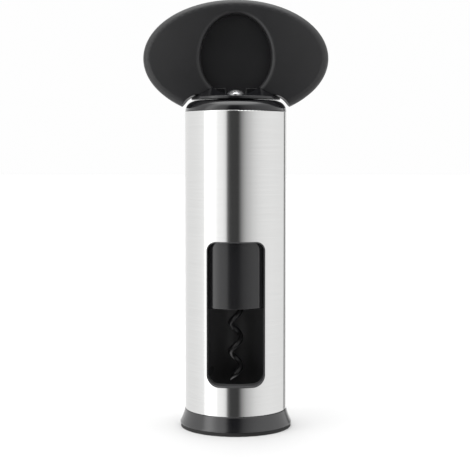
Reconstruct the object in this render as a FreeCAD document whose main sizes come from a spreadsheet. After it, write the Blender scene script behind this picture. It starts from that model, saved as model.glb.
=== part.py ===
import FreeCAD, Part
import math
import os
import re
import Sketcher
from FreeCAD import Placement, Rotation, Vector

# Self-pulling corkscrew, in millimetres.  +Z is up, the base stands on z = 0 and the window faces -Y.
# The handle's long axis lies along X.  Every size is a cell of the sheet below.
SIZES = {
    # Steel tube and its window
    "tube_radius": 22.5,
    "tube_wall": 0.8,
    "tube_bottom": 7.9,
    "tube_top": 140.0,
    "tube_edge": 0.35,
    "window_half_width": 12.67,
    "window_bottom": 20.6,
    "window_top": 83.6,
    "window_round_top": 4.0,
    "window_round_bottom": 5.2,
    # Liner
    "fit_gap": 0.1,
    "liner_inset": 0.57,
    "liner_wall": 1.8,
    "liner_flange": 4.0,
    "liner_top": 134.0,
    "neck_radius": 15.75,
    "chamber_radius": 13.0,
    "guide_radius": 14.6,
    "chamber_bottom": 54.25,
    "chamber_outer": 19.7,
    "chamber_wall_top": 95.0,
    "skin_bottom": 50.0,
    "skin_top": 126.0,
    "seat_thickness": 2.5,
    "ledge_height": 89.0,
    # Base and foot
    "base_radius": 24.8,
    "base_edge": 0.35,
    "base_clearance": 0.3,
    "base_flare_radius": 25.0,
    "base_mouth_radius": 17.2,
    "base_throat_radius": 15.95,
    "foot_inner": 21.9,
    "foot_outer": 24.5,
    "foot_thickness": 1.5,
    # Collar and bush
    "collar_radius": 22.4,
    "collar_height": 4.65,
    "well_radius": 9.6,
    "well_floor": 140.25,
    "clip_well_radius": 6.8,
    "clip_well_floor": 139.0,
    "bush_radius": 6.0,
    "bush_flange_radius": 8.0,
    "bush_flange": 1.5,
    "collar_boss_radius": 10.0,
    "collar_boss_bottom": 135.0,
    "collar_deck": 137.0,
    "collar_ring_inner": 15.5,
    # Screws
    "screw_count": 3,
    "collar_screw_circle": 19.0,
    "base_screw_circle": 19.5,
    "screw_radius": 1.1,
    "screw_head_radius": 1.7,
    "screw_head_height": 1.4,
    "screw_bite": 3.5,
    "base_counterbore": 3.6,
    # Spindle and what it carries
    "spindle_radius": 3.45,
    "running_fit": 0.08,
    "spindle_bottom": 84.0,
    "spindle_seat": 147.0,
    "stud_radius": 2.5,
    "stud_height": 1.2,
    "nut_radius": 4.25,
    "nut_edge": 0.7,
    "nut_height": 2.9,
    "clip_thickness": 0.6,
    "clip_radius": 6.0,
    "clip_groove": 3.0,
    "clip_bottom": 139.5,
    "clip_mouth": 2.6,
    "washer_thickness": 0.8,
    "washer_radius": 8.8,
    "washer_bottom": 140.3,
    "pin_radius": 1.0,
    "pin_half_length": 7.0,
    "pin_height": 143.2,
    "shank_radius": 2.0,
    "shank_top": 96.0,
    "shank_pin_radius": 0.8,
    "shank_pin_height": 91.0,
    # Worm
    "worm_pitch": 12.8,
    "worm_centre_radius": 2.2,
    "wire_radius": 1.275,
    "worm_tip_height": 20.0,
    "worm_tip_angle": 175.0,
    "worm_tip_rise": 3.2,
    "worm_tip_radius": 0.15,
    "worm_top": 86.0,
    # Sleeve
    "sleeve_radius": 10.05,
    "sleeve_bore": 8.0,
    "sleeve_bottom": 55.2,
    "sleeve_top": 92.3,
    "end_ring_height": 1.8,
    "end_ring_bore": 3.95,
    "end_ring_spigot": 8.0,
    "sleeve_bevel": 0.5,
    "glide_radius": 14.2,
    "glide_thickness": 3.0,
    "glide_inner": 11.0,
    "glide_lip": 0.8,
    # Hub and handle
    "hub_boss_radius": 8.0,
    "hub_boss_bottom": 141.3,
    "hub_bottom": 145.0,
    "hub_radius": 19.65,
    "hub_edge_top": 146.2,
    "hub_dome_radius": 12.8,
    "hub_dome_top": 150.3,
    "hub_edge": 0.4,
    "hub_well_radius": 4.6,
    "handle_centre": 163.0,
    "handle_half_width": 40.6,
    "handle_half_height": 25.7,
    "handle_thickness": 16.0,
    "handle_round": 3.0,
    "handle_gap": 2.65,
    "handle_side_gap": 0.45,
    "web_thickness": 3.0,
    "core_margin": 5.5,
    "recess_half_width": 15.5,
    "recess_centre": 163.5,
    "recess_rise": 18.9,
    "recess_drop": 17.2,
    "recess_round": 2.0,
}
doc = FreeCAD.newDocument("corkscrew")
sheet = doc.addObject("Spreadsheet::Sheet", "Sizes")
for row, (alias, size) in enumerate(SIZES.items(), start=1):
    sheet.set(f"A{row}", alias)
    sheet.set(f"B{row}", str(size))
    sheet.setAlias(f"B{row}", alias)
doc.recompute()
finished = []


def formula(text):
    """Put the sheet's name in front of every size that a formula uses."""
    return re.sub(r"[a-z_]+", lambda word: "Sizes." + word[0] if word[0] in SIZES else word[0], text)


def amount(text):
    """The number that a formula stands for."""
    return float(sheet.evalExpression(formula(text)))


def bind(thing, **formulas):
    """Bind properties of an object to formulas."""
    for name, text in formulas.items():
        thing.setExpression(name, formula(text))


def lift(thing, height):
    """Bind an object's height above the ground."""
    thing.setExpression("Placement.Base.z", formula(height))


def finish(thing, label):
    """Name a finished sub-part, so that it is checked and written at the end."""
    thing.Label = label
    finished.append(thing)
    return thing


# ---------------------------------------------------------------- sketches and turned bodies


def new_body(name):
    return doc.addObject("PartDesign::Body", name)


def new_sketch(body, name, role="XZ_Plane"):
    """An empty sketch on one of the body's own origin planes."""
    sketch = body.newObject("Sketcher::SketchObject", name)
    plane = next(item for item in body.Origin.OriginFeatures if item.Role == role)
    sketch.AttachmentSupport = (plane, [""])
    sketch.MapMode = "FlatFace"
    return sketch


def arc_between(start, end, radius):
    """The short arc between two points; a negative radius bends it to the other side."""
    chord = end.sub(start)
    middle = start.add(end).multiply(0.5)
    side = Vector(-chord.y, chord.x, 0).normalize()
    offset = math.sqrt(radius**2 - (chord.Length / 2) ** 2)
    centre = middle.add(side.multiply(math.copysign(offset, radius)))
    bulge = middle.sub(centre).normalize().multiply(abs(radius))
    return Part.Arc(start, centre.add(bulge), end)


def draw_outline(sketch, corners):
    """A closed outline of (across, up) corners; a third value is the radius of an arc to the next."""
    points = [Vector(amount(corner[0]), amount(corner[1]), 0) for corner in corners]
    ends = []
    for index, corner in enumerate(corners):
        start = points[index]
        end = points[(index + 1) % len(points)]
        if len(corner) == 2:
            piece = sketch.addGeometry(Part.LineSegment(start, end), False)
            ends.append((1, 2))
            continue
        piece = sketch.addGeometry(arc_between(start, end, amount(corner[2])), False)
        to_first, to_last = (sketch.getPoint(piece, number).distanceToPoint(start) for number in (1, 2))
        ends.append((1, 2) if to_first < to_last else (2, 1))
        radius = sketch.addConstraint(Sketcher.Constraint("Radius", piece, abs(amount(corner[2]))))
        sketch.setExpression(f"Constraints[{radius}]", formula(f"abs({corner[2]})"))
    for index, corner in enumerate(corners):
        following = (index + 1) % len(corners)
        joined = Sketcher.Constraint("Coincident", index, ends[index][1], following, ends[following][0])
        sketch.addConstraint(joined)
        place_corner(sketch, index, ends[index][0], corner)


def place_corner(sketch, piece, end, corner):
    """Tie one corner of an outline to its two formulas."""
    for kind, text, axis in (("DistanceX", corner[0], -2), ("DistanceY", corner[1], -1)):
        if text == "0":
            sketch.addConstraint(Sketcher.Constraint("PointOnObject", piece, end, axis))
            continue
        number = sketch.addConstraint(Sketcher.Constraint(kind, piece, end, amount(text)))
        sketch.setExpression(f"Constraints[{number}]", formula(text))


def turn(body, name, corners, kind="PartDesign::Revolution"):
    """Turn an outline, given as (radius, height) corners, about the vertical axis."""
    sketch = new_sketch(body, name + "_outline")
    draw_outline(sketch, corners)
    turned = body.newObject(kind, name)
    turned.Profile = (sketch, [""])
    turned.ReferenceAxis = (sketch, ["V_Axis"])
    turned.Angle = 360
    body.Tip = turned
    doc.recompute()
    return turned


def turned_part(label, corners):
    """A sub-part that is a single turned shape."""
    body = new_body(label)
    turn(body, label + "_turned", corners)
    return finish(body, label)


def box_corners(inner, outer, bottom, top):
    """The four corners of a rectangle."""
    return [(inner, bottom), (outer, bottom), (outer, top), (inner, top)]


def push(body, name, corners, length, kind, forward):
    """Pad or pocket an outline from the XZ plane, towards -Y when forward."""
    before = body.Shape.Volume
    sketch = new_sketch(body, name + "_outline")
    draw_outline(sketch, corners)
    pushed = body.newObject(kind, name)
    pushed.Profile = (sketch, [""])
    pushed.Reversed = forward == (kind == "PartDesign::Pocket")
    bind(pushed, Length=length)
    body.Tip = pushed
    doc.recompute()
    grown = body.Shape.Volume > before
    if grown != (kind == "PartDesign::Pad"):
        raise RuntimeError(f"{name} went the wrong way")
    return pushed


def upright_opening(half_width, low, high, round_low, round_high):
    """Corners of an upright opening with rounded corners, drawn anticlockwise from its lower left."""
    return [
        (f"-({half_width}) + {round_low}", low),
        (f"({half_width}) - {round_low}", low, round_low),
        (half_width, f"{low} + {round_low}"),
        (half_width, f"{high} - {round_high}", round_high),
        (f"({half_width}) - {round_high}", high),
        (f"-({half_width}) + {round_high}", high, round_high),
        (f"-({half_width})", f"{high} - {round_high}"),
        (f"-({half_width})", f"{low} + {round_low}", round_low),
    ]


# ---------------------------------------------------------------- simple solids and booleans


def cylinder(name, radius, bottom, height):
    solid = doc.addObject("Part::Cylinder", name)
    bind(solid, Radius=radius, Height=height)
    lift(solid, bottom)
    return solid


def cross_bar(name, radius, half_length, height):
    """A bar along Y through the axis."""
    solid = doc.addObject("Part::Cylinder", name)
    bind(solid, Radius=radius, Height=f"2 * ({half_length})")
    solid.Placement.Rotation = Rotation(Vector(1, 0, 0), 90)
    solid.setExpression("Placement.Base.y", formula(half_length))
    lift(solid, height)
    return solid


def cut(name, base, *tools):
    """Take tools away from a base."""
    tool = tools[0] if len(tools) == 1 else fuse(name + "_tools", *tools)
    result = doc.addObject("Part::Cut", name)
    result.Base = base
    result.Tool = tool
    return result


def fuse(name, *pieces):
    result = doc.addObject("Part::MultiFuse", name)
    result.Shapes = list(pieces)
    return result


def common(name, *pieces):
    result = doc.addObject("Part::MultiCommon", name)
    result.Shapes = list(pieces)
    return result


def around(name, maker, circle):
    """Solids made by maker(name, angle, radius of the circle) evenly around the axis, as one shape."""
    count = int(amount("screw_count"))
    distance = amount(circle)
    solids = [maker(f"{name}_{number}", 90 + 360 * number / count, distance) for number in range(count)]
    return fuse(name, *solids)


def place_around(solid, angle, circle, height):
    turned = Rotation(Vector(0, 0, 1), angle)
    solid.Placement = Placement(turned.multVec(Vector(circle, 0, 0)), turned)
    lift(solid, height)


def screw_holes(name, circle, radius, bottom, height):
    """Upright holes where the screws of one circle go."""

    def one(label, angle, distance):
        hole = doc.addObject("Part::Cylinder", label)
        bind(hole, Radius=radius, Height=height)
        place_around(hole, angle, distance, bottom)
        return hole

    return around(name, one, circle)


def screws(label, circle, head_bottom, shank_length):
    """Screws driven upwards, as one sub-part: heads, shanks and a driver recess in each head."""

    def one(name, angle, distance):
        head = doc.addObject("Part::Cylinder", name + "_head")
        bind(head, Radius="screw_head_radius", Height="screw_head_height")
        place_around(head, angle, distance, head_bottom)
        shank = doc.addObject("Part::Cylinder", name + "_shank")
        bind(shank, Radius="screw_radius", Height=shank_length)
        place_around(shank, angle, distance, f"{head_bottom} + screw_head_height")
        slot = doc.addObject("Part::Cylinder", name + "_drive")
        bind(slot, Radius="screw_radius * 0.8", Height="screw_head_height / 2")
        place_around(slot, angle, distance, head_bottom)
        return cut(name, fuse(name + "_blank", head, shank), slot)

    return finish(around(label, one, circle), label)


# ---------------------------------------------------------------- fixed parts


def steel_tube():
    """Thin steel tube with the upright window in its front."""
    body = new_body("steel_tube")
    turn(body, "tube_wall_turned", [
        ("tube_radius - tube_wall", "tube_bottom"),
        ("tube_radius - tube_edge", "tube_bottom", "tube_edge"),
        ("tube_radius", "tube_bottom + tube_edge"),
        ("tube_radius", "tube_top - tube_edge", "tube_edge"),
        ("tube_radius - tube_edge", "tube_top"),
        ("tube_radius - tube_wall", "tube_top"),
    ])
    window = upright_opening("window_half_width", "window_bottom", "window_top",
                             "window_round_bottom", "window_round_top")
    push(body, "tube_window", window, "tube_radius + 1", "PartDesign::Pocket", forward=True)
    finish(body, "steel_tube")


def liner():
    """Moulded liner: bore for the bottle neck, skin behind the steel and deep frame of the window."""
    skin = "(tube_radius - tube_wall - fit_gap)"
    skin_inner = "chamber_outer + fit_gap"
    flange_top = "tube_bottom + liner_flange"
    shelf = "chamber_bottom - fit_gap / 2"
    body = new_body("liner_blank")
    turn(body, "liner_wall_turned", [
        ("neck_radius / 2", "tube_bottom"),
        (skin, "tube_bottom"),
        (skin, flange_top),
        ("neck_radius + liner_wall", flange_top),
        ("neck_radius + liner_wall", "skin_bottom"),
        (skin, "skin_bottom"),
        (skin, "skin_top"),
        (skin_inner, "skin_top"),
        (skin_inner, shelf),
        ("neck_radius / 2", shelf),
    ])
    opening = "window_half_width - liner_inset"
    low = "window_bottom + liner_inset"
    high = "window_top - liner_inset"
    frame = box_corners(f"-({opening} + liner_wall)", f"{opening} + liner_wall",
                        f"{low} - liner_wall", shelf)
    push(body, "liner_frame", frame, "tube_radius", "PartDesign::Pad", forward=True)
    outside = box_corners(skin, "tube_radius * 2", "tube_bottom - 1", "liner_top + 1")
    turn(body, "liner_trim", outside, "PartDesign::Groove")
    bore = box_corners("0", "neck_radius", "tube_bottom - 1", "liner_top")
    turn(body, "liner_bore", bore, "PartDesign::Groove")
    gap = upright_opening(opening, low, high, "(window_round_bottom - liner_inset)",
                          "(window_round_top - liner_inset)")
    push(body, "liner_window", gap, "tube_radius + 1", "PartDesign::Pocket", forward=True)
    holes = screw_holes("liner_holes", "base_screw_circle", "screw_radius", "tube_bottom - 1",
                        "screw_bite + 1")
    finish(cut("liner_finished", body, holes), "inner_liner")


def cork_chamber():
    """Double-walled chamber that stops the bottle's mouth, takes the cork and guides the sleeve."""
    skin = "tube_radius - tube_wall - fit_gap"
    floor = "chamber_bottom + liner_wall"
    flange_bottom = "liner_top - liner_flange + 1"
    body = new_body("chamber_blank")
    turn(body, "chamber_turned", [
        ("chamber_radius", "chamber_bottom"),
        ("chamber_outer - base_edge", "chamber_bottom", "base_edge"),
        ("chamber_outer", "chamber_bottom + base_edge"),
        ("chamber_outer", "chamber_wall_top"),
        ("chamber_outer - liner_wall", "chamber_wall_top"),
        ("chamber_outer - liner_wall", floor),
        ("chamber_radius + liner_wall", floor),
        ("chamber_radius + liner_wall", "ledge_height - 2 * liner_wall"),
        ("guide_radius + liner_wall", "ledge_height - liner_wall"),
        ("guide_radius + liner_wall", flange_bottom),
        (skin, flange_bottom),
        (skin, "liner_top"),
        ("guide_radius", "liner_top"),
        ("guide_radius", "ledge_height"),
        ("chamber_radius", "ledge_height"),
    ])
    holes = screw_holes("chamber_holes", "collar_screw_circle", "screw_radius + fit_gap",
                        "liner_top - liner_flange", "liner_flange + 1")
    finish(cut("chamber_finished", body, holes), "cork_chamber")


def mouth_seat():
    """Soft ring that the bottle's mouth stops against, open where the window is."""
    top = "chamber_bottom - fit_gap / 2"
    body = new_body("mouth_seat")
    turn(body, "seat_turned", box_corners("chamber_radius", "neck_radius - fit_gap / 2",
                                          f"{top} - seat_thickness", top))
    gap = box_corners("-window_half_width", "window_half_width",
                      f"{top} - seat_thickness - 1", f"{top} + 1")
    push(body, "seat_gap", gap, "tube_radius", "PartDesign::Pocket", forward=True)
    finish(body, "mouth_seat")


def base_ring():
    """Flared base with a lead-in for the bottle, a groove for the foot and counterbored screw holes."""
    top = "tube_bottom - fit_gap / 10"
    body = new_body("base_ring_blank")
    turn(body, "base_turned", [
        ("base_mouth_radius", "base_clearance"),
        ("foot_inner", "base_clearance"),
        ("foot_inner", "foot_thickness"),
        ("base_radius - base_edge", "foot_thickness", "base_edge"),
        ("base_radius", "foot_thickness + base_edge"),
        ("base_radius - base_edge / 4", "foot_thickness + base_edge * 2", "-base_flare_radius"),
        ("tube_radius + fit_gap", top),
        ("base_throat_radius", top),
        ("base_throat_radius", "tube_bottom / 2"),
    ])
    shanks = screw_holes("base_holes", "base_screw_circle", "screw_radius + fit_gap",
                         "0", "tube_bottom + 1")
    heads = screw_holes("base_counterbores", "base_screw_circle", "screw_head_radius + fit_gap",
                        "0", "base_counterbore")
    finish(cut("base_finished", body, shanks, heads), "base_ring")


def collar():
    """Domed collar on top of the tube, with a stepped well for the hub, washer and clip."""
    skin = "tube_radius - tube_wall - fit_gap"
    top = "tube_top + collar_height"
    body = new_body("top_collar_blank")
    turn(body, "collar_turned", [
        ("bush_radius", "collar_boss_bottom"),
        ("collar_boss_radius", "collar_boss_bottom"),
        ("collar_boss_radius", "collar_deck"),
        ("collar_ring_inner", "collar_deck"),
        ("collar_ring_inner", "liner_top"),
        (skin, "liner_top"),
        (skin, "tube_top"),
        ("collar_radius", "tube_top", "collar_height"),
        ("collar_radius - collar_height", top),
        ("well_radius", top),
        ("well_radius", "well_floor"),
        ("clip_well_radius", "well_floor"),
        ("clip_well_radius", "clip_well_floor"),
        ("bush_radius", "clip_well_floor"),
    ])
    holes = screw_holes("collar_holes", "collar_screw_circle", "screw_radius", "liner_top - 1",
                        "screw_bite + 1")
    finish(cut("collar_finished", body, holes), "top_collar")


def bush():
    """Flanged bush that the spindle turns and slides in."""
    bore = "spindle_radius + running_fit"
    flange_bottom = "collar_boss_bottom - bush_flange"
    turned_part("guide_bush", [
        (bore, flange_bottom),
        ("bush_flange_radius", flange_bottom),
        ("bush_flange_radius", "collar_boss_bottom"),
        ("bush_radius", "collar_boss_bottom"),
        ("bush_radius", "clip_well_floor"),
        (bore, "clip_well_floor"),
    ])


def foot():
    """Rubber ring under the base."""
    turned_part("foot_ring", box_corners("foot_inner + fit_gap / 2", "foot_outer",
                                         "0", "foot_thickness - fit_gap / 2"))


# ---------------------------------------------------------------- spindle, worm and what turns with them


def spindle():
    """Steel shaft: blind bore for the worm, clip groove, two pin holes and a stud for the nut."""
    body = new_body("spindle_blank")
    turn(body, "spindle_turned", [
        ("shank_radius", "spindle_bottom"),
        ("spindle_radius", "spindle_bottom"),
        ("spindle_radius", "clip_bottom"),
        ("clip_groove", "clip_bottom"),
        ("clip_groove", "clip_bottom + clip_thickness"),
        ("spindle_radius", "clip_bottom + clip_thickness"),
        ("spindle_radius", "spindle_seat"),
        ("stud_radius", "spindle_seat"),
        ("stud_radius", "spindle_seat + stud_height"),
        ("0", "spindle_seat + stud_height"),
        ("0", "shank_top"),
        ("shank_radius", "shank_top"),
    ])
    hub_hole = cross_bar("spindle_hub_pin_hole", "pin_radius", "pin_half_length", "pin_height")
    worm_hole = cross_bar("spindle_worm_pin_hole", "shank_pin_radius", "pin_half_length", "shank_pin_height")
    finish(cut("spindle_finished", body, hub_hole, worm_hole), "spindle")


def dome_nut():
    """Polished domed nut at the foot of the thumb recess."""
    top = "spindle_seat + nut_height"
    dome = "(nut_height - nut_edge)"
    turned_part("dome_nut", [
        ("stud_radius", "spindle_seat"),
        ("nut_radius", "spindle_seat"),
        ("nut_radius", "spindle_seat + nut_edge", f"(nut_radius^2 + {dome}^2) / (2 * {dome})"),
        ("0", top),
        ("0", "spindle_seat + stud_height"),
        ("stud_radius", "spindle_seat + stud_height"),
    ])


def retaining_clip():
    """Snap ring in the spindle's groove, open on one side."""
    body = new_body("retaining_clip")
    top = "clip_bottom + clip_thickness"
    turn(body, "clip_turned", box_corners("clip_groove", "clip_radius", "clip_bottom", top))
    mouth = box_corners("-clip_mouth", "clip_mouth", "clip_bottom - 1", f"{top} + 1")
    push(body, "clip_gap", mouth, "clip_radius + 1", "PartDesign::Pocket", forward=True)
    finish(body, "retaining_clip")


def thrust_washer():
    """Washer under the hub, carried by the spindle and held by the clip."""
    turned_part("thrust_washer", box_corners("spindle_radius + running_fit", "washer_radius",
                                             "washer_bottom", "washer_bottom + washer_thickness"))


def pins():
    """Cross pins: one drives the spindle from the hub, one drives the worm from the spindle."""
    finish(cross_bar("hub_drive_pin", "pin_radius", "pin_half_length", "pin_height"), "hub_pin")
    worm_drive = cross_bar("worm_drive_pin", "shank_pin_radius", "spindle_radius - fit_gap",
                           "shank_pin_height")
    finish(worm_drive, "worm_pin")


def worm_stretch(name, start, rise, first, last):
    """One stretch of the right-handed wire helix, swept from one wire radius to another."""
    pitch = amount("worm_pitch")
    radius = amount("worm_centre_radius")
    climb = math.atan2(pitch, 2 * math.pi * radius)

    def on_helix(height):
        turned = Rotation(Vector(0, 0, 1), amount("worm_tip_angle") + 360 * height / pitch)
        return Placement(Vector(0, 0, amount("worm_tip_height") + height), turned)

    spine = doc.addObject("Part::Helix", name + "_spine")
    bind(spine, Pitch="worm_pitch", Height=rise, Radius="worm_centre_radius")
    spine.Placement = on_helix(amount(start))
    across = Placement(Vector(radius, 0, 0),
                       Rotation(Vector(0, 0, 1), Vector(0, math.cos(climb), math.sin(climb))))
    sections = []
    for number, (height, size) in enumerate(((start, first), (f"{start} + {rise}", last))):
        ring = doc.addObject("Part::Circle", f"{name}_section_{number}")
        bind(ring, Radius=size)
        ring.Placement = on_helix(amount(height)).multiply(across)
        sections.append(ring)
    wire = doc.addObject("Part::Sweep", name)
    wire.Sections = sections if first != last else sections[:1]
    wire.Spine = (spine, ["Edge1"])
    wire.Solid = True
    wire.Frenet = True
    return wire


def worm():
    """Right-handed wire worm with a drawn-out point and a straight shank in the spindle."""
    point = worm_stretch("worm_point", "0", "worm_tip_rise", "worm_tip_radius", "wire_radius")
    coil = worm_stretch("worm_coil", "worm_tip_rise", "worm_top - worm_tip_height - worm_tip_rise",
                        "wire_radius", "wire_radius")
    shank = cylinder("worm_shank", "shank_radius", "spindle_bottom - 4", "shank_top - spindle_bottom + 4")
    room = cylinder("worm_room", "spindle_radius * 2", "spindle_bottom", "shank_top")
    hole = cross_bar("worm_pin_hole", "shank_pin_radius", "pin_half_length", "shank_pin_height")
    wire = fuse("worm_wire", cut("worm_below_spindle", coil, room), shank)
    finish(fuse("worm_finished", cut("worm_drilled", wire, hole), point), "worm")


# ---------------------------------------------------------------- floating sleeve


def sleeve():
    """Sleeve that steers the worm and rides up on the cork, with its end ring and glide ring."""
    joint = "sleeve_bottom + end_ring_height"
    glide_bottom = "(sleeve_top - glide_thickness)"
    groove_top = f"{glide_bottom} + glide_thickness - glide_lip"
    body = new_body("worm_sleeve")
    turn(body, "sleeve_turned", [
        ("sleeve_bore", joint),
        ("sleeve_radius", joint),
        ("sleeve_radius", glide_bottom),
        ("glide_inner", glide_bottom),
        ("glide_inner", groove_top),
        ("glide_inner + glide_lip", groove_top),
        ("glide_inner + glide_lip", "sleeve_top"),
        ("sleeve_bore", "sleeve_top"),
    ])
    finish(body, "worm_sleeve")
    turned_part("sleeve_end_ring", [
        ("end_ring_bore + sleeve_bevel", "sleeve_bottom"),
        ("sleeve_radius - sleeve_bevel", "sleeve_bottom"),
        ("sleeve_radius", "sleeve_bottom + sleeve_bevel"),
        ("sleeve_radius", joint),
        ("sleeve_bore - fit_gap / 2", joint),
        ("sleeve_bore - fit_gap / 2", f"{joint} + end_ring_spigot"),
        ("end_ring_bore", f"{joint} + end_ring_spigot"),
        ("end_ring_bore", "sleeve_bottom + sleeve_bevel"),
    ])
    turned_part("sleeve_glide_ring", [
        ("glide_inner + fit_gap / 2", glide_bottom),
        ("glide_radius", glide_bottom),
        ("glide_radius", "sleeve_top"),
        ("glide_inner + glide_lip + fit_gap / 2", "sleeve_top"),
        ("glide_inner + glide_lip + fit_gap / 2", f"{groove_top} - fit_gap / 2"),
        ("glide_inner + fit_gap / 2", f"{groove_top} - fit_gap / 2"),
    ])


# ---------------------------------------------------------------- hub and handle


def upright_ellipse(name, half_width, half_height, centre, thickness):
    """An elliptical slab that stands upright, centred on the XZ plane."""
    wide = amount(half_width) >= amount(half_height)
    longer, shorter = (half_width, half_height) if wide else (half_height, half_width)
    curve = doc.addObject("Part::Ellipse", name + "_curve")
    bind(curve, MajorRadius=longer, MinorRadius=shorter)
    lying = Rotation(Vector(1, 0, 0), 90)
    curve.Placement.Rotation = lying if wide else lying.multiply(Rotation(Vector(0, 0, 1), 90))
    lift(curve, centre)
    slab = doc.addObject("Part::Extrusion", name)
    slab.Base = curve
    slab.DirMode = "Custom"
    slab.Dir = Vector(0, 1, 0)
    slab.Symmetric = True
    slab.Solid = True
    bind(slab, LengthFwd=thickness)
    return slab


def side_block(name, half_width, back, front, bottom, top):
    """A block between two distances in front of the axis plane (front and back are -Y distances)."""
    block = doc.addObject("Part::Box", name)
    bind(block, Length=f"2 * ({half_width})", Width=f"({front}) - ({back})", Height=f"({top}) - ({bottom})")
    block.setExpression("Placement.Base.x", formula(f"-({half_width})"))
    block.setExpression("Placement.Base.y", formula(f"-({front})"))
    lift(block, bottom)
    return block


def egg(name):
    """Egg-shaped prism of the thumb recess: a low half ellipse below and a taller one above."""
    depth = "tube_radius"
    room = "tube_radius * 2"
    upper = upright_ellipse(name + "_upper", "recess_half_width", "recess_rise", "recess_centre", room)
    lower = upright_ellipse(name + "_lower", "recess_half_width", "recess_drop", "recess_centre", room)
    above = side_block(name + "_above", "recess_half_width + 1", f"-{depth}", depth,
                       "recess_centre", "recess_centre + recess_rise + 1")
    below = side_block(name + "_below", "recess_half_width + 1", f"-{depth}", depth,
                       "recess_centre - recess_drop - 1", "recess_centre")
    return fuse(name, common(name + "_top", upper, above), common(name + "_foot", lower, below))


def hub_shape(name):
    """The hub as turned, before the recess and pin hole are cut."""
    body = new_body(name)
    turn(body, name + "_turned", [
        ("spindle_radius + fit_gap / 2", "hub_boss_bottom"),
        ("hub_boss_radius", "hub_boss_bottom"),
        ("hub_boss_radius", "hub_bottom"),
        ("hub_radius - hub_edge", "hub_bottom", "hub_edge"),
        ("hub_radius", "hub_bottom + hub_edge"),
        ("hub_radius", "hub_edge_top"),
        ("hub_dome_radius", "hub_dome_top"),
        ("hub_well_radius", "hub_dome_top"),
        ("hub_well_radius", "spindle_seat"),
        ("spindle_radius + fit_gap / 2", "spindle_seat"),
    ])
    return body


def recess_room(name):
    """The recess in front of and behind the web."""
    web = side_block(name + "_web", "handle_half_width", "-web_thickness / 2", "web_thickness / 2",
                     "hub_boss_bottom - 5", "handle_centre + handle_half_height + 5")
    return cut(name, egg(name + "_egg"), web)


def hub():
    """Hub under the blade; the recess runs out through its dome."""
    hole = cross_bar("hub_pin_hole", "pin_radius", "hub_boss_radius + 1", "pin_height")
    finish(cut("hub_finished", hub_shape("hub_blank"), recess_room("hub_recess"), hole), "handle_hub")


def hub_and_collar_room(name):
    """Everything the blade must stay clear of: hub, nut, collar and the running gap round its shoulder."""
    shoulder = doc.addObject("Part::Torus", name + "_shoulder")
    bind(shoulder, Radius1="collar_radius - collar_height", Radius2="collar_height + handle_gap")
    lift(shoulder, "tube_top")
    skirt = cylinder(name + "_skirt", "collar_radius + handle_gap", "tube_top - 10", "10")
    side = cylinder(name + "_side", "hub_radius + handle_side_gap", "tube_top - 10",
                    "hub_edge_top - tube_top + 10")
    dome = doc.addObject("Part::Cone", name + "_dome")
    bind(dome, Radius1="hub_radius", Radius2="hub_dome_radius", Height="hub_dome_top - hub_edge_top")
    lift(dome, "hub_edge_top")
    return fuse(name, shoulder, skirt, side, dome)


def blade():
    """The whole blade: an upright elliptical slab with the egg cut through and both outlines rounded."""
    slab = upright_ellipse("blade_slab", "handle_half_width", "handle_half_height", "handle_centre",
                           "handle_thickness")
    holed = cut("blade_holed", slab, egg("blade_egg"))
    doc.recompute()
    rounded = doc.addObject("Part::Fillet", "blade_rounded")
    rounded.Base = holed
    rounds = []
    for number, edge in enumerate(holed.Shape.Edges, start=1):
        if edge.BoundBox.YLength > 0.01:
            continue
        radius = amount("handle_round" if edge.BoundBox.XLength > 2 * amount("recess_half_width") + 1
                        else "recess_round")
        rounds.append((number, radius, radius))
    rounded.Edges = rounds
    return rounded


def handle_shell(label, whole, back, front):
    """One half of the blade, with a pocket for half of the core."""
    half = side_block(label + "_half", "handle_half_width + 1", back, front, "tube_top - 10",
                      "handle_centre + handle_half_height + 1")
    core = upright_ellipse(label + "_core_room", "handle_half_width - core_margin + fit_gap / 2",
                           "handle_half_height - core_margin + fit_gap / 2", "handle_centre",
                           "web_thickness + fit_gap / 5")
    room = hub_and_collar_room(label + "_room")
    finish(cut(label + "_finished", common(label + "_blade", whole, half), room, core), label)


def nut_room():
    """The nut's domed shape with a fitting gap all round."""
    edge = "(nut_radius + fit_gap)"
    dome = "(nut_height - nut_edge)"
    shoulder = "spindle_seat + nut_edge + fit_gap"
    body = new_body("nut_room")
    turn(body, "nut_room_turned", [
        ("0", "spindle_seat"),
        (edge, "spindle_seat"),
        (edge, shoulder, f"({edge}^2 + {dome}^2) / (2 * {dome})"),
        ("0", f"{shoulder} + {dome}"),
    ])
    return body


def handle_core():
    """Stiff plate between the shells: floor of both recesses, with a tongue that closes round the nut."""
    plate = upright_ellipse("core_plate", "handle_half_width - core_margin",
                            "handle_half_height - core_margin", "handle_centre", "web_thickness")
    trimmed = cut("core_trimmed", plate, hub_and_collar_room("core_room"))
    tongue_bottom = "spindle_seat + nut_edge + fit_gap"
    tongue_top = "hub_dome_top + 1"
    strip = side_block("core_strip", "hub_well_radius", "-web_thickness / 2", "web_thickness / 2",
                       tongue_bottom, tongue_top)
    well = cylinder("core_well", "hub_well_radius - fit_gap / 2", tongue_bottom,
                    f"({tongue_top}) - ({tongue_bottom})")
    tongue = cut("core_tongue", common("core_tongue_blank", strip, well), nut_room())
    finish(fuse("core_finished", trimmed, tongue), "handle_core")


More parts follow.
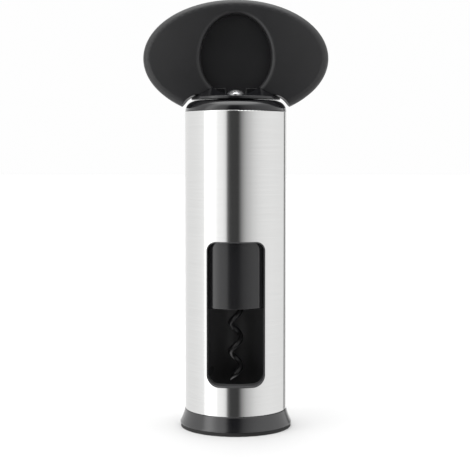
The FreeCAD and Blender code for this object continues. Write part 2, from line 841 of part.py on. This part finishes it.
steel_tube()
liner()
cork_chamber()
mouth_seat()
base_ring()
collar()
bush()
foot()
screws("collar_screws", "collar_screw_circle", "liner_top - liner_flange + 1 - screw_head_height",
       "liner_flange - 1 + screw_bite")
screws("base_screws", "base_screw_circle", "base_counterbore - screw_head_height",
       "tube_bottom - base_counterbore + screw_bite")
spindle()
dome_nut()
retaining_clip()
thrust_washer()
pins()
worm()
sleeve()
hub()
whole_blade = blade()
handle_shell("handle_shell_front", whole_blade, "0", "handle_thickness / 2")
handle_shell("handle_shell_back", whole_blade, "-handle_thickness / 2", "0")
handle_core()

doc.recompute()
for thing in doc.Objects:
    if "Invalid" in thing.State or "Error" in thing.State:
        raise RuntimeError(f"{thing.Name} ({thing.Label}) is not valid: {thing.State}")
os.makedirs("parts", exist_ok=True)
for thing in finished:
    shape = thing.Shape
    if shape.isNull() or not shape.isValid():
        raise RuntimeError(f"{thing.Label} has no valid shape")
    shape.exportStep(f"parts/{thing.Label}.step")
    bounds = shape.optimalBoundingBox()
    print(f"{thing.Label:20s} {len(shape.Solids)} solid(s) {shape.Volume:10.1f} mm3"
          f"  z {bounds.ZMin:.2f} to {bounds.ZMax:.2f}")
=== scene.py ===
import math

import bpy
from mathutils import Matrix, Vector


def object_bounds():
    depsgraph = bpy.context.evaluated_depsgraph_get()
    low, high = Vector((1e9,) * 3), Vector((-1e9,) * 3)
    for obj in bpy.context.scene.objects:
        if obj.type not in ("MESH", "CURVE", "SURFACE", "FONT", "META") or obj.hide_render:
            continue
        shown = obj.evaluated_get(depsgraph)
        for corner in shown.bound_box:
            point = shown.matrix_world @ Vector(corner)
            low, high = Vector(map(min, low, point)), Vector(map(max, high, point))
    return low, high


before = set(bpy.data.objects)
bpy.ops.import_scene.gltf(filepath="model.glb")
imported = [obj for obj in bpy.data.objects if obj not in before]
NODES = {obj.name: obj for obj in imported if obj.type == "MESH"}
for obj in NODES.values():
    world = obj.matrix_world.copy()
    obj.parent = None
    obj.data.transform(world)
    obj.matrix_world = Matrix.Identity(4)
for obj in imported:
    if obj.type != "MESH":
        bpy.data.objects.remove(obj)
CAD_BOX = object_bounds()
LOW, HIGH = CAD_BOX
MM = 0.001


# ---------------------------------------------------------------- node helpers


def new_material(name):
    """A material with only a Principled shader, and the pieces needed to add to it."""
    material = bpy.data.materials.new(name)
    material.use_nodes = True
    tree = material.node_tree
    shader = tree.nodes["Principled BSDF"]
    return material, tree, shader


def set_shader(shader, **values):
    """Set sockets by name; an underscore stands for a space."""
    for name, value in values.items():
        shader.inputs[name.replace("_", " ")].default_value = value


def add(tree, kind, **settings):
    """Add a node and set its properties."""
    node = tree.nodes.new(kind)
    for name, value in settings.items():
        setattr(node, name, value)
    return node


def scaled_place(tree, scale):
    """Object coordinates, stretched differently along each axis."""
    place = add(tree, "ShaderNodeTexCoord")
    stretch = add(tree, "ShaderNodeMapping")
    stretch.inputs["Scale"].default_value = scale
    tree.links.new(place.outputs["Object"], stretch.inputs["Vector"])
    return stretch.outputs["Vector"]


def noise(tree, vector, scale, detail=2.0, roughness=0.5):
    texture = add(tree, "ShaderNodeTexNoise")
    texture.inputs["Scale"].default_value = scale
    texture.inputs["Detail"].default_value = detail
    texture.inputs["Roughness"].default_value = roughness
    tree.links.new(vector, texture.inputs["Vector"])
    return texture.outputs["Fac"]


def spread(tree, value, low, high, start=0.3, end=0.7):
    """Map the part of a value between start and end to a range."""
    node = add(tree, "ShaderNodeMapRange")
    node.inputs["From Min"].default_value = start
    node.inputs["From Max"].default_value = end
    node.inputs["To Min"].default_value = low
    node.inputs["To Max"].default_value = high
    tree.links.new(value, node.inputs["Value"])
    return node.outputs["Result"]


def tint(tree, value, first, second):
    """Blend two colours by a value."""
    node = add(tree, "ShaderNodeMix", data_type="RGBA")
    node.inputs["A"].default_value = (*first, 1)
    node.inputs["B"].default_value = (*second, 1)
    tree.links.new(value, node.inputs["Factor"])
    return node.outputs["Result"]


def bump(tree, shader, height, distance, strength=1.0, edge=0.0):
    """Surface relief; an edge size also softens sharp corners so that they catch the light."""
    node = add(tree, "ShaderNodeBump")
    if edge:
        rounded = add(tree, "ShaderNodeBevel", samples=6)
        rounded.inputs["Radius"].default_value = edge
        tree.links.new(rounded.outputs["Normal"], node.inputs["Normal"])
    node.inputs["Distance"].default_value = distance
    node.inputs["Strength"].default_value = strength
    tree.links.new(height, node.inputs["Height"])
    tree.links.new(node.outputs["Normal"], shader.inputs["Normal"])


# ---------------------------------------------------------------- materials

# How often the slow change in a moulding's colour and gloss comes and goes, per metre
DRIFT_SCALE = 55


def brushed_steel(name, colour, grain, roughness):
    """Metal with fine lines that run round the vertical axis; grain is how many there are to the metre."""
    material, tree, shader = new_material(name)
    set_shader(shader, Metallic=1.0)
    fine = noise(tree, scaled_place(tree, (40, 40, grain)), 1.0, detail=3.0, roughness=0.65)
    darker = tuple(part * 0.93 for part in colour)
    tree.links.new(tint(tree, spread(tree, fine, 0, 1), darker, colour), shader.inputs["Base Color"])
    tree.links.new(spread(tree, fine, roughness * 0.85, roughness * 1.2), shader.inputs["Roughness"])
    bump(tree, shader, fine, 0.01 * MM, 0.35)
    return material


def polished_metal(name, colour, roughness):
    """Plated or polished metal with the faintest haze."""
    material, tree, shader = new_material(name)
    set_shader(shader, Metallic=1.0)
    haze = noise(tree, scaled_place(tree, (1, 1, 1)), 900, detail=3.0)
    darker = tuple(part * 0.95 for part in colour)
    tree.links.new(tint(tree, haze, darker, colour), shader.inputs["Base Color"])
    tree.links.new(spread(tree, haze, roughness * 0.7, roughness * 1.3), shader.inputs["Roughness"])
    return material


def moulded(name, colour, roughness, texture_size, depth, ior=1.48, coat=0.0, edge=0.0):
    """Moulded plastic or rubber: spark-eroded grain, and a slow drift in colour and gloss."""
    material, tree, shader = new_material(name)
    set_shader(shader, IOR=ior, Coat_Weight=coat, Coat_Roughness=0.08)
    place = scaled_place(tree, (1, 1, 1))
    grain = noise(tree, place, 1 / texture_size, roughness=0.6)
    drift = noise(tree, place, DRIFT_SCALE)
    lighter = tuple(part * 1.25 for part in colour)
    tree.links.new(tint(tree, drift, colour, lighter), shader.inputs["Base Color"])
    tree.links.new(spread(tree, drift, roughness * 0.9, roughness * 1.12), shader.inputs["Roughness"])
    bump(tree, shader, grain, depth, edge=edge)
    return material


def soft_touch(name, middle, painted_highlight_colour, roughness):
    """Soft-touch coating on the handle, with painted highlight: its colour turns lighter towards the
    handle's two outer tips and its top, in place of the light those parts catch.
    """
    material, tree, shader = new_material(name)
    set_shader(shader, IOR=1.42)
    place = scaled_place(tree, (1, 1, 1))
    split = add(tree, "ShaderNodeSeparateXYZ")
    tree.links.new(place, split.inputs["Vector"])
    sideways = add(tree, "ShaderNodeMath", operation="ABSOLUTE")
    tree.links.new(split.outputs["X"], sideways.inputs[0])
    # Painted highlight: the colour is blended towards a lighter grey across the handle's outer parts and
    # its upper part, as if those parts caught more light.
    painted_end_highlight = spread(tree, sideways.outputs["Value"], 0, 0.65, start=12 * MM, end=38 * MM)
    painted_top_highlight = spread(tree, split.outputs["Z"], 0, 0.35, start=150 * MM, end=185 * MM)
    painted_highlight = add(tree, "ShaderNodeMath", operation="ADD")
    tree.links.new(painted_end_highlight, painted_highlight.inputs[0])
    tree.links.new(painted_top_highlight, painted_highlight.inputs[1])
    tree.links.new(tint(tree, painted_highlight.outputs["Value"], middle, painted_highlight_colour), shader.inputs["Base Color"])
    drift = noise(tree, place, DRIFT_SCALE)
    tree.links.new(spread(tree, drift, roughness * 0.9, roughness * 1.12), shader.inputs["Roughness"])
    grain = noise(tree, place, 1 / (0.16 * MM), roughness=0.6)
    bump(tree, shader, grain, 0.008 * MM, edge=0.3 * MM)
    return material


def coated_wire(name):
    """Dark non-stick coating: a fine orange-peel over metal."""
    material, tree, shader = new_material(name)
    set_shader(shader, Metallic=0.35, Coat_Weight=0.35, Coat_Roughness=0.2)
    place = scaled_place(tree, (1, 1, 1))
    peel = noise(tree, place, 2600)
    colour = tint(tree, peel, (0.016, 0.016, 0.017), (0.035, 0.035, 0.036))
    tree.links.new(colour, shader.inputs["Base Color"])
    tree.links.new(spread(tree, peel, 0.28, 0.42), shader.inputs["Roughness"])
    bump(tree, shader, peel, 0.015 * MM)
    return material


STEEL = brushed_steel("brushed_stainless", (0.70, 0.70, 0.695), 5200, 0.12)
GROUND_STEEL = brushed_steel("ground_steel", (0.58, 0.58, 0.58), 7000, 0.3)
CHROME = polished_metal("polished_chrome", (0.86, 0.86, 0.87), 0.30)
ZINC = polished_metal("zinc_plate", (0.60, 0.61, 0.62), 0.3)
SPRING_STEEL = polished_metal("spring_steel", (0.20, 0.20, 0.21), 0.35)
# The second colour is a painted highlight, used towards the handle's tips and top.
SOFT_TOUCH = soft_touch("soft_touch_black", (0.013, 0.013, 0.014), (0.031, 0.031, 0.032), 0.38)
SATIN_BLACK = moulded("satin_black", (0.006, 0.006, 0.007), 0.22, 0.22 * MM, 0.005 * MM, edge=0.3 * MM)
HUB_BLACK = moulded("hub_black", (0.006, 0.006, 0.007), 0.18, 1.5 * MM, 0.004 * MM, coat=0.3, edge=0.7 * MM)
BASE_BLACK = moulded("base_black", (0.004, 0.004, 0.005), 0.17, 1.5 * MM, 0.004 * MM, ior=1.75,
                     edge=0.5 * MM)
GLOSS_BLACK = moulded("gloss_black", (0.005, 0.005, 0.006), 0.14, 1.5 * MM, 0.004 * MM, coat=0.3)
LINER_BLACK = moulded("liner_black", (0.065, 0.065, 0.067), 0.30, 0.3 * MM, 0.006 * MM, edge=0.3 * MM)
CHAMBER_BLACK = moulded("chamber_black", (0.010, 0.010, 0.011), 0.16, 1.5 * MM, 0.003 * MM, ior=1.55)
CORE_BLACK = moulded("core_black", (0.010, 0.010, 0.011), 0.30, 0.3 * MM, 0.006 * MM)
RUBBER = moulded("black_rubber", (0.012, 0.012, 0.012), 0.75, 0.3 * MM, 0.03 * MM)
ACETAL = moulded("natural_acetal", (0.62, 0.60, 0.54), 0.4, 0.3 * MM, 0.008 * MM)
WORM_COAT = coated_wire("worm_coating")

LOOKS = {
    "steel_tube": STEEL,
    "inner_liner": LINER_BLACK,
    "cork_chamber": CHAMBER_BLACK,
    "mouth_seat": RUBBER,
    "base_ring": BASE_BLACK,
    "foot_ring": RUBBER,
    "top_collar": GLOSS_BLACK,
    "guide_bush": ACETAL,
    "collar_screws": ZINC,
    "base_screws": ZINC,
    "thrust_washer": ACETAL,
    "handle_shell_front": SOFT_TOUCH,
    "handle_shell_back": SOFT_TOUCH,
    "handle_core": CORE_BLACK,
    "handle_hub": HUB_BLACK,
    "hub_pin": GROUND_STEEL,
    "spindle": GROUND_STEEL,
    "dome_nut": CHROME,
    "retaining_clip": SPRING_STEEL,
    "worm_pin": GROUND_STEEL,
    "worm": WORM_COAT,
    "worm_sleeve": SATIN_BLACK,
    "sleeve_end_ring": SATIN_BLACK,
    "sleeve_glide_ring": ACETAL,
}


def dress(node, material):
    """Give a CAD node its material."""
    mesh = NODES[node].data
    mesh.materials.clear()
    mesh.materials.append(material)


for node_name, look in LOOKS.items():
    dress(node_name, look)


# ---------------------------------------------------------------- floor, light and camera

# Brightness of the studio's walls: degrees to the right of straight in front, and how bright it is there.
# A tall softbox is on the left, a dark card straight in front and a narrow dark strip behind on the right.
STUDIO = [(-180, 0.98), (-160, 0.98), (-112, 1.06), (-97, 1.09), (-84, 1.15), (-76, 1.2),
          (-72, 2.2), (-60, 2.5), (-50, 1.8), (-41, 1.3), (-30, 1.2), (-22, 1.0),
          (-19, 0.2), (-13, 0.065), (6, 0.055), (9, 0.15), (14, 0.35),
          (23, 0.60), (33, 0.76), (42, 0.90), (52, 0.99), (63, 1.05), (85, 1.09), (114, 1.06),
          (139, 1.01), (143, 0.18), (149, 0.18), (153, 1.0), (180, 0.98)]
# The world's strength: at least the brightest value, because the ramp's greys stop at 1
STUDIO_STRENGTH = 3.5
CEILING = 3.4


def floor():
    """A plain pale floor that runs out of sight; reflections see the studio's walls go on below it."""
    half = 6.0
    mesh = bpy.data.meshes.new("floor")
    corners = [(-half, -half, LOW.z), (half, -half, LOW.z), (half, half, LOW.z), (-half, half, LOW.z)]
    mesh.from_pydata(corners, [], [(0, 1, 2, 3)])
    material, tree, shader = new_material("pale_floor")
    set_shader(shader, Roughness=0.7)
    mottle = noise(tree, scaled_place(tree, (1, 1, 1)), 3.0)
    colour = tint(tree, mottle, (0.665, 0.665, 0.665), (0.675, 0.675, 0.675))
    tree.links.new(colour, shader.inputs["Base Color"])
    mesh.materials.append(material)
    plane = bpy.data.objects.new("floor", mesh)
    plane.visible_glossy = False
    bpy.context.scene.collection.objects.link(plane)


def brightness_round(tree, vector):
    """How bright the studio is in each direction round the object, as a colour."""
    split = add(tree, "ShaderNodeSeparateXYZ")
    tree.links.new(vector, split.inputs["Vector"])
    front = add(tree, "ShaderNodeMath", operation="MULTIPLY")
    front.inputs[1].default_value = -1
    tree.links.new(split.outputs["Y"], front.inputs[0])
    angle = add(tree, "ShaderNodeMath", operation="ARCTAN2")
    tree.links.new(split.outputs["X"], angle.inputs[0])
    tree.links.new(front.outputs["Value"], angle.inputs[1])
    turn = add(tree, "ShaderNodeMapRange")
    turn.inputs["From Min"].default_value = -math.pi
    turn.inputs["From Max"].default_value = math.pi
    tree.links.new(angle.outputs["Value"], turn.inputs["Value"])
    ramp = add(tree, "ShaderNodeValToRGB")
    entries = ramp.color_ramp.elements
    while len(entries) > 1:
        entries.remove(entries[-1])
    for number, (degrees, brightness) in enumerate(STUDIO):
        at = (degrees + 180) / 360
        grey = brightness / STUDIO_STRENGTH
        entry = entries[0] if number == 0 else entries.new(at)
        entry.position = at
        entry.color = (grey, grey, grey, 1)
    tree.links.new(turn.outputs["Result"], ramp.inputs["Fac"])
    return ramp.outputs["Color"]


def overhead(tree, vector, walls):
    """The walls' brightness, giving way to a bright ceiling in the steepest directions."""
    split = add(tree, "ShaderNodeSeparateXYZ")
    tree.links.new(vector, split.inputs["Vector"])
    height = spread(tree, split.outputs["Z"], 0, 1, start=0.80, end=0.93)
    blend = add(tree, "ShaderNodeMix", data_type="RGBA")
    blend.inputs["B"].default_value = (*(CEILING / STUDIO_STRENGTH,) * 3, 1)
    tree.links.new(height, blend.inputs["Factor"])
    tree.links.new(walls, blend.inputs["A"])
    return blend.outputs["Result"]


def studio():
    """The walls and ceiling of the studio; straight from the camera they are plain white."""
    world = bpy.data.worlds.new("studio")
    bpy.context.scene.world = world
    world.use_nodes = True
    tree = world.node_tree
    tree.nodes.clear()
    place = add(tree, "ShaderNodeTexCoord")
    lit = add(tree, "ShaderNodeBackground")
    lit.inputs["Strength"].default_value = STUDIO_STRENGTH
    direction = place.outputs["Generated"]
    tree.links.new(overhead(tree, direction, brightness_round(tree, direction)), lit.inputs["Color"])
    plain = add(tree, "ShaderNodeBackground")
    plain.inputs["Color"].default_value = (0.99, 0.99, 0.99, 1)
    rays = add(tree, "ShaderNodeLightPath")
    choose = add(tree, "ShaderNodeMixShader")
    tree.links.new(rays.outputs["Is Camera Ray"], choose.inputs["Fac"])
    tree.links.new(lit.outputs["Background"], choose.inputs[1])
    tree.links.new(plain.outputs["Background"], choose.inputs[2])
    out = add(tree, "ShaderNodeOutputWorld")
    tree.links.new(choose.outputs["Shader"], out.inputs["Surface"])


def sky_light():
    """A faint, wide overhead light that evens out the floor."""
    light = bpy.data.lights.new("overhead", "SUN")
    light.energy = 0.3
    light.angle = math.radians(100)
    lamp = bpy.data.objects.new("overhead", light)
    lamp.location = (0, 0, 2)
    bpy.context.scene.collection.objects.link(lamp)


def camera():
    """Straight in front, a little below the tube's top edge, with a long lens and a slight tilt down."""
    data = bpy.data.cameras.new("camera")
    data.lens = 92.96
    data.sensor_width = 36
    data.shift_y = -0.05
    data.clip_start = 0.01
    eye = bpy.data.objects.new("camera", data)
    eye.location = (-0.36 * MM, -539.8 * MM, 121.7 * MM)
    eye.rotation_euler = (math.radians(90 - 2.762), 0, 0)
    bpy.context.scene.collection.objects.link(eye)
    bpy.context.scene.camera = eye


floor()
studio()
sky_light()
camera()
bpy.context.scene.view_settings.view_transform = "Standard"
